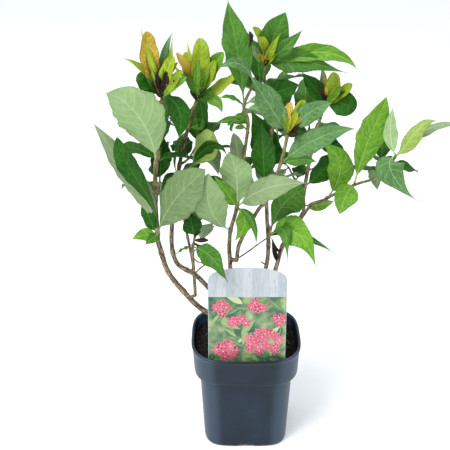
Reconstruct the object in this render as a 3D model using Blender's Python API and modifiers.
"""A young weigela in a square one litre nursery pot, with its plant label.

The frame: the pot's underside is on z = 0 with its middle at the origin, x runs to the right as one
faces the label, y runs to the back and z up.  Sizes are in metres; MM turns millimetres into them.
"""
import math
import random

import bmesh
import bpy
from mathutils import Matrix, Vector, noise
from mathutils.bvhtree import BVHTree

MM = 0.001

# Pot: half widths of its rounded square outline, heights and wall
POT_HEIGHT = 110 * MM
POT_BASE_HALF = 42.6 * MM
POT_BODY_HALF = 47.5 * MM
POT_COLLAR_HALF = 52.8 * MM
POT_RIM_HALF = 55.5 * MM
POT_COLLAR_FOOT = 81 * MM
POT_LIP = 1.6 * MM
POT_WALL = 1.6 * MM
POT_FLOOR = 3 * MM
LEDGE_SLOPE = 0.5 * MM
POT_SQUARENESS = 3.4
BASE_SQUARENESS = 4.4
NOTCH = (16 * MM, 16 * MM, 2 * MM)

# Soil, and the printed plate that stands in it behind the front rim
SOIL_LEVEL = 98 * MM
SOIL_BUMP = 1.6 * MM
LEVEL_REACH = 24 * MM
LABEL_WIDTH = 75 * MM
LABEL_THICKNESS = 0.8 * MM
LABEL_FOOT = 84.5 * MM
LABEL_SHOULDER = 193 * MM
LABEL_TOP = 207 * MM
LABEL_BACK = -44 * MM

# Woody crown that the boughs leave, flared where it meets the soil
TRUNK_MIDDLE = Vector((-7, 3)) * MM
TRUNK_LEAN = Vector((-2, 1)) * MM
TRUNK_HEIGHT = 19 * MM
TRUNK_FLARE = 15 * MM
TRUNK_TOP = 9.5 * MM
TRUNK_RINGS = 7
TRUNK_SIDES = 20
FOOT_RING = 6.2 * MM

CLEARANCE = 0.3 * MM
SEED = 27
TRIES = 6

# Leaves: the two ways that a blade can look, its thickness, stalk, tip and the room it needs
UP = Vector((0, 0, 1))
FRONT = Vector((0, -0.92, 0.4))
LEAF_THICKNESS = 0.012
THINNEST_LEAF = 0.75 * MM
STALK_SHARE = 0.1
STALK_HALF = 1.1 * MM
TIP_HALF = 0.5 * MM
LEAF_ROOM = 1.5 * MM
LONG_LEAF = 66 * MM
SHORT_LEAF = 38 * MM

# Outlines of a blade, as the powers of how it widens from its foot and narrows to its tip
OVAL = (0.8, 1.3)
BROAD = (1.0, 1.0)
BLUNT = (0.7, 0.5)
SQUARED = (1.5, 0.7)
LATE = (2.4, 0.9)
DRIP = (1.0, 1.9)
TAILED = (1.0, 3.0)

# Side twigs at the back, and the lengths and breadths of their leaves
TWIG_FOOT = 1.3 * MM
TWIG_TIP = 0.9 * MM
TWIG_LIFT = 0.25
SPRAY_LEAF = (46 * MM, 66 * MM)
SPRAY_BREADTH = (0.4, 0.5)

SLATE = (0.033, 0.047, 0.062)
EARTH = (0.018, 0.013, 0.010)
LABEL_WHITE = (0.72, 0.80, 0.84)
BARK = (0.17, 0.12, 0.08)
LEAF_GREEN = (0.13, 0.26, 0.05)


def clear_scene():
    """Start from an empty scene."""
    for thing in list(bpy.data.objects):
        bpy.data.objects.remove(thing, do_unlink=True)


def material(name, colour, roughness):
    """A plain Principled surface of one colour."""
    look = bpy.data.materials.new(name)
    look.use_nodes = True
    shader = look.node_tree.nodes["Principled BSDF"]
    shader.inputs["Base Color"].default_value = (*colour, 1)
    shader.inputs["Roughness"].default_value = roughness
    shader.inputs["Metallic"].default_value = 0
    return look


def add_object(name, mesh, look=None):
    """Put a mesh into the plant's collection, or into the cutters' without a look."""
    thing = bpy.data.objects.new(name, mesh)
    if look:
        mesh.materials.append(look)
        plant_collection.objects.link(thing)
    else:
        thing.hide_render = True
        thing.display_type = "WIRE"
        cutter_collection.objects.link(thing)
    return thing


def mesh_of(build):
    """The mesh that a function makes in a fresh bmesh."""
    shape = bmesh.new()
    build(shape)
    bmesh.ops.recalc_face_normals(shape, faces=shape.faces)
    mesh = bpy.data.meshes.new("shape")
    shape.to_mesh(mesh)
    shape.free()
    mesh.shade_smooth()
    mesh.set_sharp_from_angle(angle=math.radians(35))
    return mesh


def rounded_square(half, squareness, z, count=40):
    """A square with bulging sides and very round corners, as a superellipse."""
    ring = []
    for step in range(count):
        angle = math.tau * step / count
        reach = (abs(math.cos(angle)) ** squareness + abs(math.sin(angle)) ** squareness)
        radius = half / reach ** (1 / squareness)
        ring.append(Vector((radius * math.cos(angle), radius * math.sin(angle), z)))
    return ring


def loft(rings):
    """A closed body through rings of points, capped at both ends."""
    def build(shape):
        loops = [[shape.verts.new(point) for point in ring] for ring in rings]
        count = len(loops[0])
        for low, high in zip(loops, loops[1:]):
            for i in range(count):
                j = (i + 1) % count
                shape.faces.new((low[i], low[j], high[j], high[i]))
        shape.faces.new(loops[0])
        shape.faces.new(loops[-1])
    return mesh_of(build)


def cut(thing, cutter):
    """Take a cutter's shape out of an object."""
    modifier = thing.modifiers.new("cut", "BOOLEAN")
    modifier.operation = "DIFFERENCE"
    modifier.object = cutter


def box(size, centre):
    """A box cutter."""
    def build(shape):
        bmesh.ops.create_cube(shape, size=1, matrix=Matrix.Translation(centre) @ Matrix.Diagonal((*size, 1)))
    return add_object("cutter", mesh_of(build))


def pot_half(z):
    """Outer half width of the pot's body or collar at a height."""
    if z < POT_COLLAR_FOOT:
        return POT_BASE_HALF + (POT_BODY_HALF - POT_BASE_HALF) * z / POT_COLLAR_FOOT
    share = (z - POT_COLLAR_FOOT) / (POT_HEIGHT - POT_COLLAR_FOOT)
    return POT_COLLAR_HALF + (POT_RIM_HALF - POT_LIP / 2 - POT_COLLAR_HALF) * share


def squareness_at(z):
    """The outline is squarer at the base than at the rim."""
    return BASE_SQUARENESS + (POT_SQUARENESS - BASE_SQUARENESS) * z / POT_HEIGHT


def inner_half(z):
    """Half width of the pot's inside."""
    return pot_half(z) - POT_WALL


def make_pot():
    """Thin moulded pot: tapered body, a ledge, an upright collar and a narrow lip."""
    def outline(half, z):
        return rounded_square(half, squareness_at(z), z)
    step = LEDGE_SLOPE
    ledge_inside = POT_COLLAR_FOOT + POT_WALL
    rings = [
        outline(POT_BASE_HALF - 1.5 * MM, 0),
        outline(POT_BASE_HALF, 1.5 * MM),
        outline(pot_half(POT_COLLAR_FOOT - step), POT_COLLAR_FOOT - step),
        outline(POT_COLLAR_HALF - step, POT_COLLAR_FOOT),
        outline(POT_COLLAR_HALF, POT_COLLAR_FOOT + 2 * step),
        outline(pot_half(POT_HEIGHT - 3 * POT_LIP), POT_HEIGHT - 3 * POT_LIP),
        outline(POT_RIM_HALF, POT_HEIGHT - POT_LIP),
        outline(POT_RIM_HALF - step, POT_HEIGHT),
        outline(POT_RIM_HALF - POT_LIP - POT_WALL + step, POT_HEIGHT),
        outline(inner_half(POT_HEIGHT - 2 * POT_LIP), POT_HEIGHT - 2 * POT_LIP),
        outline(inner_half(ledge_inside), ledge_inside),
        outline(POT_BODY_HALF - POT_WALL, ledge_inside - step),
        outline(inner_half(POT_FLOOR + POT_WALL), POT_FLOOR + POT_WALL),
        outline(inner_half(POT_FLOOR) - 1.5 * MM, POT_FLOOR),
    ]
    pot = add_object("pot", loft(rings), material("slate plastic", SLATE, 0.38))
    for quarter in range(4):
        turn = Matrix.Rotation(quarter * math.pi / 2, 3, "Z")
        centre = turn @ Vector((0, -POT_BASE_HALF, NOTCH[2] / 2 - 0.5 * MM))
        cut(pot, box((NOTCH[0], NOTCH[1], NOTCH[2] + 1 * MM), centre))


def soil_height(x, y):
    """Bumpy soil that lies level under the woody crown and at the label."""
    bumps = noise.noise(Vector((x, y, 0)) / (11 * MM)) + 0.6 * noise.noise(Vector((y, x, 1)) / (5 * MM))
    away = (Vector((x, y)) - TRUNK_MIDDLE).length
    level = min(max((away - LEVEL_REACH) / (10 * MM), 0), 1)
    return SOIL_LEVEL + SOIL_BUMP * bumps * level


def make_soil():
    """Peat that fills the pot to just under its rim, with a slot for the label."""
    ledge = POT_COLLAR_FOOT + POT_WALL + CLEARANCE
    corner = POT_FLOOR + 2 * POT_WALL
    rings = []
    for half, z in (
        (inner_half(POT_FLOOR) - 2.4 * MM, POT_FLOOR + CLEARANCE),
        (inner_half(corner) - CLEARANCE, corner),
        (POT_BODY_HALF - POT_WALL - CLEARANCE, ledge - LEDGE_SLOPE),
        (inner_half(ledge) - CLEARANCE, ledge),
        (inner_half(SOIL_LEVEL - 3 * MM) - CLEARANCE, SOIL_LEVEL - 3 * MM),
    ):
        rings.append(rounded_square(half, squareness_at(z), z))
    edge = inner_half(SOIL_LEVEL) - 1.2 * MM
    for share in (1, 0.84, 0.68, 0.52, 0.37, 0.2):
        ring = rounded_square(edge * share, squareness_at(SOIL_LEVEL), 0)
        for point in ring:
            point.z = soil_height(point.x, point.y)
        rings.append(ring)
    soil = add_object("soil", loft(rings), material("damp peat", EARTH, 0.95))
    slot = (LABEL_WIDTH + 2 * CLEARANCE, LABEL_THICKNESS + 2 * CLEARANCE, 40 * MM)
    foot = LABEL_FOOT - CLEARANCE
    cut(soil, box(slot, Vector((0, LABEL_BACK, foot + slot[2] / 2))))


def make_label():
    """A flat plastic plate with a bowed top, standing in its slot."""
    curve = bpy.data.curves.new("label", "CURVE")
    curve.dimensions = "2D"
    curve.fill_mode = "BOTH"
    curve.extrude = LABEL_THICKNESS / 2
    half = LABEL_WIDTH / 2
    rise = LABEL_TOP - LABEL_SHOULDER
    outline = [(-half, LABEL_FOOT), (half, LABEL_FOOT), (half, LABEL_SHOULDER - rise / 2)]
    for step in range(13):
        angle = math.pi * step / 12
        across = half * math.cos(angle)
        outline.append((across, LABEL_SHOULDER + rise * math.sin(angle) ** 0.8))
    outline.append((-half, LABEL_SHOULDER - rise / 2))
    spline = curve.splines.new("POLY")
    spline.points.add(len(outline) - 1)
    for point, (x, z) in zip(spline.points, outline):
        point.co = (x, z, 0, 1)
    spline.use_cyclic_u = True
    stand = Matrix.Translation((0, LABEL_BACK, 0)) @ Matrix.Rotation(math.pi / 2, 4, "X")
    add_object("label", mesh_from_curve(curve, stand), material("label plastic", LABEL_WHITE, 0.35))


def mesh_from_curve(curve, placing=None):
    """The welded mesh of a curve, turned and moved to its place."""
    holder = bpy.data.objects.new("holder", curve)
    bpy.context.scene.collection.objects.link(holder)
    seen = holder.evaluated_get(bpy.context.evaluated_depsgraph_get())
    mesh = bpy.data.meshes.new_from_object(seen)
    bpy.data.objects.remove(holder, do_unlink=True)
    if placing:
        mesh.transform(placing)
    shape = bmesh.new()
    shape.from_mesh(mesh)
    bmesh.ops.remove_doubles(shape, verts=shape.verts, dist=0.00001)
    bmesh.ops.recalc_face_normals(shape, faces=shape.faces)
    shape.to_mesh(mesh)
    shape.free()
    return mesh


def make_trunk():
    """The cut-back woody crown of the plant, from its root flare to its fork."""
    rings = []
    for step in range(TRUNK_RINGS):
        share = step / (TRUNK_RINGS - 1)
        flare = (TRUNK_FLARE - TRUNK_TOP) * (1 - share) ** 3
        radius = TRUNK_TOP + flare
        if share == 1:
            radius -= 1.2 * MM
        middle = TRUNK_MIDDLE + TRUNK_LEAN * share
        middle = Vector((middle.x, middle.y, SOIL_LEVEL + CLEARANCE + (TRUNK_HEIGHT - CLEARANCE) * share))
        ring = []
        for side in range(TRUNK_SIDES):
            angle = math.tau * side / TRUNK_SIDES
            lobes = 1 + (0.14 * (1 - share) + 0.05) * math.cos(5 * angle + 1.3 * share)
            ring.append(middle + radius * lobes * Vector((math.cos(angle), math.sin(angle), 0)))
        rings.append(ring)
    add_object("trunk", loft(rings), bark)


def smooth_path(points, spacing):
    """Points along a smooth curve through a route's own points."""
    ends = [points[0] * 2 - points[1]] + points + [points[-1] * 2 - points[-2]]
    path = []
    for before, start, end, after in zip(ends, ends[1:], ends[2:], ends[3:]):
        steps = max(2, round((end - start).length / spacing))
        for step in range(steps):
            t = step / steps
            path.append(0.5 * (2 * start + (end - before) * t
                               + (2 * before - 5 * start + 4 * end - after) * t * t
                               + (3 * start - before - 3 * end + after) * t ** 3))
    return path + [points[-1]]


def limb_mesh(path, foot_radius, tip_radius):
    """A tapering limb of round section along a path."""
    curve = bpy.data.curves.new("limb", "CURVE")
    curve.dimensions = "3D"
    curve.bevel_depth = 1
    curve.bevel_resolution = 1
    curve.use_fill_caps = True
    spline = curve.splines.new("POLY")
    spline.points.add(len(path) - 1)
    for i, (point, place) in enumerate(zip(spline.points, path)):
        point.co = (*place, 1)
        point.radius = foot_radius + (tip_radius - foot_radius) * i / (len(path) - 1)
    return mesh_from_curve(curve)


def bend_away(foot, out, radius, route):
    """A route that first leaves its seat squarely and then bends to its own points."""
    return [foot, foot + out * 1.6 * radius] + smooth_path([foot + out * 2.6 * radius] + route, 9 * MM)


def millimetres(points):
    """Places given in millimetres, as vectors in metres."""
    return [Vector(point) * MM for point in points]


def make_bough(name, seat, route, foot_radius, tip_radius):
    """One tapering bough, from its seat on the trunk or on another bough to its tip."""
    route = millimetres(route)
    radii = (foot_radius * MM, tip_radius * MM)
    if isinstance(seat, float):
        top = TRUNK_MIDDLE + TRUNK_LEAN
        foot = Vector((top.x, top.y, SOIL_LEVEL + TRUNK_HEIGHT + CLEARANCE))
        foot += FOOT_RING * Vector((math.cos(math.radians(seat)), math.sin(math.radians(seat)), 0))
        out = UP
    else:
        parent, share = seat
        path, thick, thin = boughs[parent]
        place = round(share * (len(path) - 1))
        along = (path[place + 1] - path[place - 1]).normalized()
        away = route[0] - path[place]
        out = (away - along * away.dot(along)).normalized()
        foot = path[place] + out * (thick + (thin - thick) * share + CLEARANCE)
    path = bend_away(foot, out, radii[0], route)
    boughs[name] = (path, *radii)
    mesh = limb_mesh(path, *radii)
    add_object(name, mesh, bark)
    limb_bodies.append(body_of(mesh))


class Body:
    """Faces that leaves keep clear of, with the points that such a test starts from."""

    def __init__(self, points, faces):
        self.tree = BVHTree.FromPolygons(points, faces)
        self.points = list(points)
        for face in faces:
            self.points.append(sum((points[i] for i in face), Vector()) / len(face))

    def crosses(self, other):
        """True where the faces of both meet."""
        return bool(self.tree.overlap(other.tree))

    def is_near(self, other):
        """True where both lie closer than the room a leaf needs."""
        if self.crosses(other) or any(other.tree.find_nearest(p, LEAF_ROOM)[0] for p in self.points):
            return True
        return any(self.tree.find_nearest(p, LEAF_ROOM)[0] for p in other.points)


class Leaf:
    """One leaf: its root on a twig, the reach to its tip, its breadth and how it is held."""

    def __init__(self, root, reach, breadth, turn=0, bow=None, twist=0, fold=20, shape=OVAL, sway=None,
                 face=FRONT):
        self.root = root
        self.reach = reach
        self.half = breadth / 2
        along = reach.normalized()
        upper = (face - along * face.dot(along)).normalized()
        self.upper = Matrix.Rotation(math.radians(turn), 3, along) @ upper
        self.bow = reach.length * 0.09 * self.upper if bow is None else bow
        self.twist = math.radians(twist)
        self.fold = math.radians(fold)
        self.shape = shape
        self.sway = sway or Vector()

    def rib(self, t):
        """A place on the midrib, from 0 at the root to 1 at the tip."""
        return self.root + self.reach * t + (self.bow * 4 + self.sway * 10.4 * (1 - 2 * t)) * t * (1 - t)

    def spread(self, blade):
        """The blade's breadth at a share of its length, as a share of its greatest breadth."""
        widening, narrowing = self.shape
        widest = widening / (widening + narrowing)
        return (blade / widest) ** widening * ((1 - blade) / (1 - widest)) ** narrowing

    def point(self, t, across):
        """A place on the blade, across from -1 to 1."""
        sway = self.sway * 10.4 * (1 - 6 * t + 6 * t * t)
        along = (self.reach + self.bow * 4 * (1 - 2 * t) + sway).normalized()
        upper = (self.upper - along * self.upper.dot(along)).normalized()
        upper = Matrix.Rotation(self.twist * (t - 0.5), 3, along) @ upper
        side = upper.cross(along)
        blade = max(t - STALK_SHARE, 0) / (1 - STALK_SHARE)
        half = max(self.half * self.spread(blade), STALK_HALF if t < 0.5 else TIP_HALF)
        out = side * across * math.cos(self.fold) + upper * abs(across) * math.sin(self.fold)
        return self.rib(t) + half * out

    def grid(self, rows):
        """Rows of three points across the blade."""
        shares = [0, STALK_SHARE] + [STALK_SHARE + (1 - STALK_SHARE) * i / rows for i in range(1, rows + 1)]
        return [[self.point(t, across) for across in (-1, 0, 1)] for t in shares]

    def rows(self):
        """Long leaves are bent in more places than short ones."""
        return 2 + sum(self.reach.length > length for length in (SHORT_LEAF, LONG_LEAF))

    def body(self, first=1):
        """The bare blade as a body, for the tests of crossing and room."""
        points = [point for row in self.grid(self.rows())[first:] for point in row]
        faces = []
        for corner in range(len(points) - 3):
            if corner % 3 < 2:
                faces.append((corner, corner + 1, corner + 4, corner + 3))
        return Body(points, faces)

    def make(self, group):
        """The leaf as a thin closed blade, in the group that is joined to its stem."""
        grid = self.grid(self.rows())
        shape = bmesh.new()
        bmesh.ops.create_grid(shape, x_segments=2, y_segments=len(grid) - 1, size=1)
        shape.verts.ensure_lookup_table()
        for vertex, place in zip(shape.verts, [point for row in grid for point in row]):
            vertex.co = place
        mesh = bpy.data.meshes.new("leaf")
        shape.to_mesh(mesh)
        shape.free()
        leaf = bpy.data.objects.new("leaf", mesh)
        shell = leaf.modifiers.new("thickness", "SOLIDIFY")
        shell.thickness = max(self.reach.length * LEAF_THICKNESS, THINNEST_LEAF)
        shell.offset = 0
        group.objects.link(leaf)


def posed_leaf(node, tip, breadth, turn=0, bow=None, twist=0, fold=20, shape=OVAL, sway=(0, 0, 0)):
    """A leaf held as the front of the plant shows it: turn 0 shows its upper side, 180 the lower."""
    bow = bow and Vector(bow) * MM
    return node, Vector(tip) * MM, breadth * MM, turn, bow, twist, fold, shape, Vector(sway) * MM


class Shoot:
    """A mass of foliage: one stem through its nodes, its leaves, side twigs and their leaves."""

    def __init__(self, name, bough, nodes, tip_radius, poses, sprays):
        path, _, foot_radius = boughs[bough]
        ahead = (path[-1] - path[-2]).normalized()
        foot = path[-1] + ahead * CLEARANCE
        self.name = name
        self.nodes = millimetres(nodes)
        self.stem = limb_mesh([foot] + smooth_path([foot + ahead * 3 * MM] + self.nodes, 14 * MM),
                              foot_radius, tip_radius * MM)
        self.poses = poses
        self.sprays = sprays
        self.leaves = []
        self.twigs = []
        self.blades = []
        self.wood = [body_of(self.stem)]

    def has_room(self, body):
        """True where a body stays clear of the pot, the limbs and all other masses."""
        others = [other for shoot in shoots if shoot is not self for other in shoot.wood + shoot.blades]
        return not any(body.is_near(other) for other in limb_bodies + others)

    def take(self, leaf, own):
        """Grow a leaf if there is room for it among the others and it crosses none of its own."""
        blade = leaf.body(2)
        if self.has_room(leaf.body()) and not any(blade.crosses(other) for other in own):
            self.leaves.append(leaf)
            self.blades.append(leaf.body())
            return True
        return False

    def try_leaf(self, root, across, out, chance):
        """Grow a leaf of a side twig, in the first of a few positions that has room."""
        for _ in range(TRIES):
            size = chance.uniform(*SPRAY_LEAF)
            reach = out * chance.uniform(0.5, 0.9) + across + UP * chance.uniform(-0.2, 0.4)
            leaf = Leaf(root, reach.normalized() * size, size * chance.uniform(*SPRAY_BREADTH),
                        chance.uniform(-25, 25), twist=chance.uniform(-30, 30), face=UP)
            if self.take(leaf, self.blades):
                return True
        return False

    def grow_poses(self):
        """The leaves that the front shows."""
        for node, *pose in self.poses:
            self.take(Leaf(self.nodes[node], *pose), [])

    def grow_sprays(self):
        """The side twigs with their leaves, each from its node, heading, rise and length."""
        chance = random.Random(SEED + len(self.name))
        for node, heading, rise, length in self.sprays:
            heading = math.radians(heading + chance.uniform(-15, 15))
            rise = math.radians(rise)
            level = Vector((math.cos(heading), math.sin(heading), 0))
            out = level * math.cos(rise) + UP * math.sin(rise)
            root = self.nodes[node]
            length *= MM
            route = [root, root + out * length * 0.55, root + (out + UP * TWIG_LIFT) * length]
            side = out.cross(UP).normalized()
            over = side.cross(out)
            twig = limb_mesh(smooth_path(route, 8 * MM), TWIG_FOOT, TWIG_TIP)
            if not self.has_room(body_of(twig)):
                continue
            middle, end = route[1:]
            places = [(middle, side), (middle, -side), (end, over), (end, -over), (end, out)]
            grown = [place for place in places if self.try_leaf(*place, out, chance)]
            if any(grown):
                self.twigs.append(twig)
                self.wood.append(body_of(twig))

    def join(self):
        """Fuse the stem with all that grows on it into one solid."""
        group = bpy.data.collections.new("growth")
        bpy.context.scene.collection.children.link(group)
        for twig in self.twigs:
            group.objects.link(bpy.data.objects.new("twig", twig))
        for leaf in self.leaves:
            leaf.make(group)
        mass = add_object(self.name, self.stem, leaf_look)
        union = mass.modifiers.new("growth", "BOOLEAN")
        union.operation = "UNION"
        union.operand_type = "COLLECTION"
        union.collection = group
        union.solver = "MANIFOLD"
        bpy.context.view_layer.update()
        mesh = bpy.data.meshes.new_from_object(mass.evaluated_get(bpy.context.evaluated_depsgraph_get()))
        mass.modifiers.clear()
        mass.data = mesh
        mesh.materials.clear()
        mesh.materials.append(leaf_look)
        keep_main_body(mesh)
        for thing in list(group.objects):
            bpy.data.objects.remove(thing, do_unlink=True)
        bpy.data.collections.remove(group)


def make_shoot(name, bough, nodes, tip_radius, poses, sprays=()):
    """Plan a mass of foliage on a bough's tip."""
    shoots.append(Shoot(name, bough, nodes, tip_radius, poses, sprays))


def keep_main_body(mesh):
    """Fill the small hollows that crossing leaves seal, and drop loose scraps."""
    shape = bmesh.new()
    shape.from_mesh(mesh)
    left = set(shape.faces)
    bodies = []
    while left:
        body = set()
        front = [left.pop()]
        while front:
            face = front.pop()
            body.add(face)
            near = {other for edge in face.edges for other in edge.link_faces} & left
            left -= near
            front.extend(near)
        bodies.append(body)
    bodies.sort(key=len)
    loose = [face for body in bodies[:-1] for face in body]
    bmesh.ops.delete(shape, geom=loose, context="FACES")
    shape.to_mesh(mesh)
    shape.free()


def body_of(mesh):
    """A mesh as a body that leaves keep clear of."""
    points = [vertex.co.copy() for vertex in mesh.vertices]
    return Body(points, [tuple(face.vertices) for face in mesh.polygons])


clear_scene()
plant_collection = bpy.data.collections.new("weigela")
cutter_collection = bpy.data.collections.new("cutters")
for group in (plant_collection, cutter_collection):
    bpy.context.scene.collection.children.link(group)
bark = material("bark", BARK, 0.8)
leaf_look = material("leaf", LEAF_GREEN, 0.5)
boughs = {}
limb_bodies = []
shoots = []

make_pot()
make_soil()
make_label()
make_trunk()
for fixed in ("pot", "label", "trunk"):
    limb_bodies.append(body_of(bpy.data.objects[fixed].data))

# Boughs from the trunk, by the heading of their seat on it, then those that fork from a bough
make_bough("bough_left", 195.0, [
    (-43, 0, 137), (-63, -4, 161), (-77, -8, 184), (-83, -10, 206), (-86, -12, 221)], 2.9, 2.5)
make_bough("bough_second", 105.0, [
    (-20, 12, 134), (-36, 11, 154), (-50, 10, 171), (-60, 13, 176), (-69, 16, 181), (-74, 19, 193),
    (-75, 22, 208), (-74, 24, 224)], 2.6, 2.2)
make_bough("bough_centre", 262.0, [(-11, -2, 125), (-15, -2, 160), (-16, -2, 186), (-17, -2, 204)], 2.6, 2.1)
make_bough("bough_top", 40.0, [
    (6, 12, 135), (13, 11, 158), (20, 12, 180), (22, 14, 203), (20, 18, 234), (19, 22, 259)], 2.4, 1.9)
make_bough("bough_right", 335.0, [
    (8, 2, 125), (18, 5, 150), (29, 8, 178), (36, 12, 203), (50, 18, 225), (55, 20, 234)], 2.6, 2.0)
make_bough("bough_inner_left", ("bough_left", 0.42), [
    (-51, -8, 166), (-52, -16, 193), (-52, -20, 212)], 1.7, 1.4)
make_bough("bough_third", ("bough_second", 0.52), [(-55, 8, 196), (-58, 6, 215), (-62, 6, 240)], 1.5, 1.2)
make_bough("bough_front_right", ("bough_centre", 0.93), [
    (-8, -7, 212), (0, -10, 232), (9, -14, 251)], 2.0, 1.8)
make_bough("bough_right_low", ("bough_top", 0.6), [(22, 0, 209), (21, -11, 220)], 1.7, 1.4)
make_bough("bough_far_right", ("bough_right", 0.86), [(62, 16, 244), (74, 12, 252)], 1.6, 1.5)

# Masses of foliage: the stem's nodes, the leaves seen from the front, then side twigs at the back,
# each as its node, heading, rise and length
make_shoot("shoot_left", "bough_left",
           [(-86, -12, 227), (-87, -12, 262), (-85, -12, 299), (-77, -12, 363)], 1.8, [
    posed_leaf(0, (-49, -12, 115), 24, 165, (6, 0, -4), shape=BROAD, sway=(2, 0, 2)),
    posed_leaf(0, (-31, -22, 103), 21, -15, (5, 0, -2), shape=LATE, sway=(3, 0, 1)),
    posed_leaf(0, (48, -35, 77), 42, 165, (-5, -3, 5), shape=BROAD),
    posed_leaf(0, (-24, -8, -1), 14, 20),
    posed_leaf(0, (-11, -14, -5), 10, 0),
    posed_leaf(0, (-14, 6, 38), 13, -20),
    posed_leaf(2, (-38, -30, 77), 46, 165, (9, 0, 6), shape=BROAD),
    posed_leaf(3, (14, -4, -38), 20, 0, (7, 2, 6), shape=BROAD),
    posed_leaf(3, (-20, 6, 20), 25, 10, shape=BLUNT),
    posed_leaf(3, (-11, -8, 58), 20, 20, (-5, 0, 0), fold=30, shape=BLUNT),
    posed_leaf(3, (-32, -5, 35), 11, 30, (2, 0, 3), fold=40),
    posed_leaf(3, (9, 4, 55), 10, 10, (-3, 0, 2)),
    posed_leaf(3, (10, -8, 37), 15, -10, fold=35, shape=BLUNT),
    posed_leaf(3, (-18, -2, 60), 6, 0),
    posed_leaf(3, (9, 4, 50), 6, 30),
], [(1, 80, 0, 30), (2, 100, -10, 26)])
make_shoot("shoot_second", "bough_second",
           [(-73, 27, 240), (-66, 32, 281), (-57, 34, 318), (-47, 35, 350)], 1.7, [
    posed_leaf(3, (-20, -8, 42), 12, 30, fold=40, shape=BLUNT),
    posed_leaf(3, (-10, 0, 42), 17, -10, fold=30, shape=BLUNT),
    posed_leaf(3, (-10, 6, 51), 6, 0),
    posed_leaf(3, (4, -6, 56), 19, 10, fold=25, shape=BLUNT),
    posed_leaf(3, (23, -8, 43), 18, -10, (-2, 0, -2), fold=30, shape=BLUNT),
    posed_leaf(3, (17, -12, 36), 13, 0, (-1, 0, -3), fold=30, shape=BLUNT),
    posed_leaf(3, (42, -6, 30), 14, -30, (2, 0, -5)),
    posed_leaf(3, (23, -14, -13), 12, 20, (5, 0, 4)),
    posed_leaf(3, (3, -8, -46), 12, 10, (3, 0, 2)),
    posed_leaf(2, (-13, -6, -44), 12, 70),
    posed_leaf(2, (15, -6, 12), 15, 0, (4, 0, 0), shape=BROAD),
], [(0, 140, 0, 30), (1, 60, 10, 30), (2, 120, -10, 28)])
make_shoot("shoot_third", "bough_third", [(-60, 6, 262), (-55, 6, 287)], 1.0, [
    posed_leaf(1, (23, -18, 43), 28, 165, shape=BROAD),
    posed_leaf(1, (36, -18, 20), 13, 40, (2, 0, 16)),
], [(0, 75, 0, 24)])
make_shoot("shoot_inner_left", "bough_inner_left", [(-52, -20, 217), (-50, -21, 228)], 1.1, [
    posed_leaf(0, (33, -37, -21), 20, 10, (3, -12, 13), shape=DRIP),
    posed_leaf(0, (-16, -6, -5), 8, 70),
    posed_leaf(1, (-5, 8, 22), 20, 0),
], [(1, 100, 0, 16)])
make_shoot("shoot_centre", "bough_centre",
           [(-16, -2, 226), (-10, -4, 251), (-6, -2, 285), (0, 0, 332), (-4, 0, 350), (5, 0, 371)], 1.3, [
    posed_leaf(0, (-21, -40, 74), 35, 170, (-8, -2, -6), shape=BROAD),
    posed_leaf(1, (-7, -22, 64), 33, 165, (3, 0, 0), shape=BROAD),
    posed_leaf(1, (60, -50, 43), 26, 165, (-4, -11, 12)),
    posed_leaf(1, (-22, -8, 35), 14, 10),
    posed_leaf(1, (-3, -24, -23), 18, 10, (9, 0, 0)),
    posed_leaf(1, (18, -30, -25), 9, 20, (5, 0, 6)),
    posed_leaf(2, (-8, -10, 45), 15, 170),
    posed_leaf(3, (-31, -4, 2), 9, 20, (2, 0, 4)),
    posed_leaf(3, (-14, 0, 8), 9, 20, (2, 0, 3)),
    posed_leaf(4, (-17, 15, 92), 29, 15, shape=(1.5, 1.5)),
    posed_leaf(4, (-22, -8, 10), 8, 50, (0, 0, 3)),
    posed_leaf(4, (31, -10, -29), 14, 150, (5, 0, 19)),
    posed_leaf(5, (-32, -24, 19), 13, 15, (2, -6, 12)),
], [(2, 70, -5, 34), (3, 60, -10, 30)])
make_shoot("shoot_front_right", "bough_front_right",
           [(18, -20, 267), (29, -30, 305), (34, -36, 334)], 1.5, [
    posed_leaf(2, (-33, -22, 56), 26, 15, (-2, 0, 3)),
    posed_leaf(2, (13, -6, 33), 13, 20, (-2, 0, 0), fold=35, shape=BLUNT),
    posed_leaf(2, (2, -3, 30), 10, -30, fold=35, shape=BLUNT),
    posed_leaf(2, (-37, 6, 21), 13, 15, (0, 0, 10)),
    posed_leaf(2, (35, -12, 32), 19, 15, (-2, 0, 4), shape=BROAD),
    posed_leaf(1, (62, -16, 38), 22, 15, (0, 0, 7)),
    posed_leaf(1, (31, -8, 4), 12, 20, (2, 0, 3)),
], [(0, 100, 10, 18)])
make_shoot("shoot_right_low", "bough_right_low", [(21, -18, 228), (22, -19, 236)], 1.2, [
    posed_leaf(0, (32, 3, 45), 31, 15, (-5, 0, 7), shape=SQUARED),
    posed_leaf(0, (44, -30, -22), 30, 10, (2, -4, 22), shape=DRIP),
    posed_leaf(0, (14, -34, -13), 14, 0, (6, 0, 18), shape=DRIP),
    posed_leaf(0, (62, -10, -15), 12, 30, (0, 0, 9), shape=DRIP),
])
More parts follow.
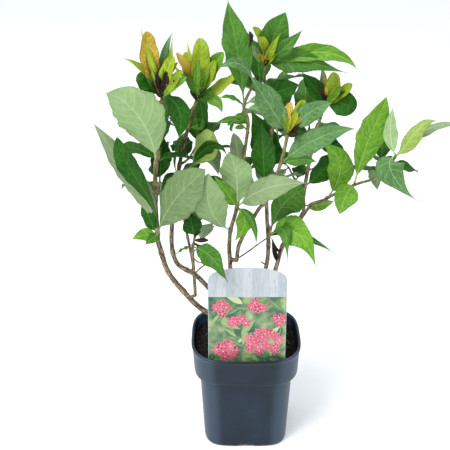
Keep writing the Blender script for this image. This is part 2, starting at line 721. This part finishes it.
make_shoot("shoot_right", "bough_right",
           [(56, 21, 243), (57, 24, 262), (65, 30, 308), (74, 35, 342)], 1.4, [
    posed_leaf(0, (32, 10, 1), 13, 30),
    posed_leaf(1, (32, 18, 28), 24, 20, shape=BROAD),
    posed_leaf(3, (-4, 4, 37), 8, 165),
    posed_leaf(3, (6, -8, 32), 16, 0, (3, 0, 0), fold=30, shape=BLUNT),
    posed_leaf(3, (24, -6, 21), 13, -20, (0, 0, -2), fold=30, shape=BLUNT),
    posed_leaf(3, (-23, 6, 29), 18, 10),
    posed_leaf(3, (28, -8, -4), 25, 10, (0, 0, 4), shape=BLUNT),
    posed_leaf(2, (31, 5, -12), 16, 10),
], [(1, 110, 0, 34), (2, 80, -10, 34)])
make_shoot("shoot_far_right", "bough_far_right",
           [(78, 11, 255), (102, 4, 271), (127, -4, 284), (137, -6, 303)], 1.1, [
    posed_leaf(0, (-8, 6, 54), 27, 0, (15, 0, 5)),
    posed_leaf(1, (-16, -22, -21), 24, 10, (0, 0, 6), shape=BROAD),
    posed_leaf(1, (27, 4, 84), 28, 10, (-2, 0, 4), shape=BROAD),
    posed_leaf(3, (-5, 0, 47), 14, 165, (-4, 0, 0)),
    posed_leaf(3, (32, -12, 39), 17, 150, (-3, 0, 3), sway=(1, 0, -2)),
    posed_leaf(3, (62, 8, 29), 11, 150, (-4, 0, 10)),
    posed_leaf(3, (25, -20, -38), 29, 10, (-14, 0, 2), shape=TAILED, sway=(-2, 0, 3)),
], [(2, 80, -10, 26)])
make_shoot("shoot_top", "bough_top", [(19, 24, 273), (23, 25, 319), (17, 25, 353), (15, 25, 381)], 1.4, [
    posed_leaf(0, (-16, 6, 64), 31, 0, (6, 0, 0)),
    posed_leaf(2, (32, 10, 8), 22, 10),
    posed_leaf(3, (-12, -6, 36), 15, 40, fold=45, shape=BLUNT),
    posed_leaf(3, (18, -4, 49), 29, 10, (-2, 0, 0), shape=BROAD),
    posed_leaf(3, (34, -8, 34), 15, 10),
    posed_leaf(3, (13, -10, 32), 9, 0, fold=35),
    posed_leaf(3, (85, -15, 1), 17, 15, (7, 0, 14)),
    posed_leaf(3, (76, -12, -6), 24, 15, (-6, 0, 9), shape=DRIP),
    posed_leaf(3, (-14, -10, 23), 8, 165),
], [(0, 100, 0, 38), (1, 60, -5, 36), (2, 110, -15, 30)])

for shoot in shoots:
    shoot.grow_poses()
for shoot in shoots:
    shoot.grow_sprays()
for shoot in shoots:
    shoot.join()
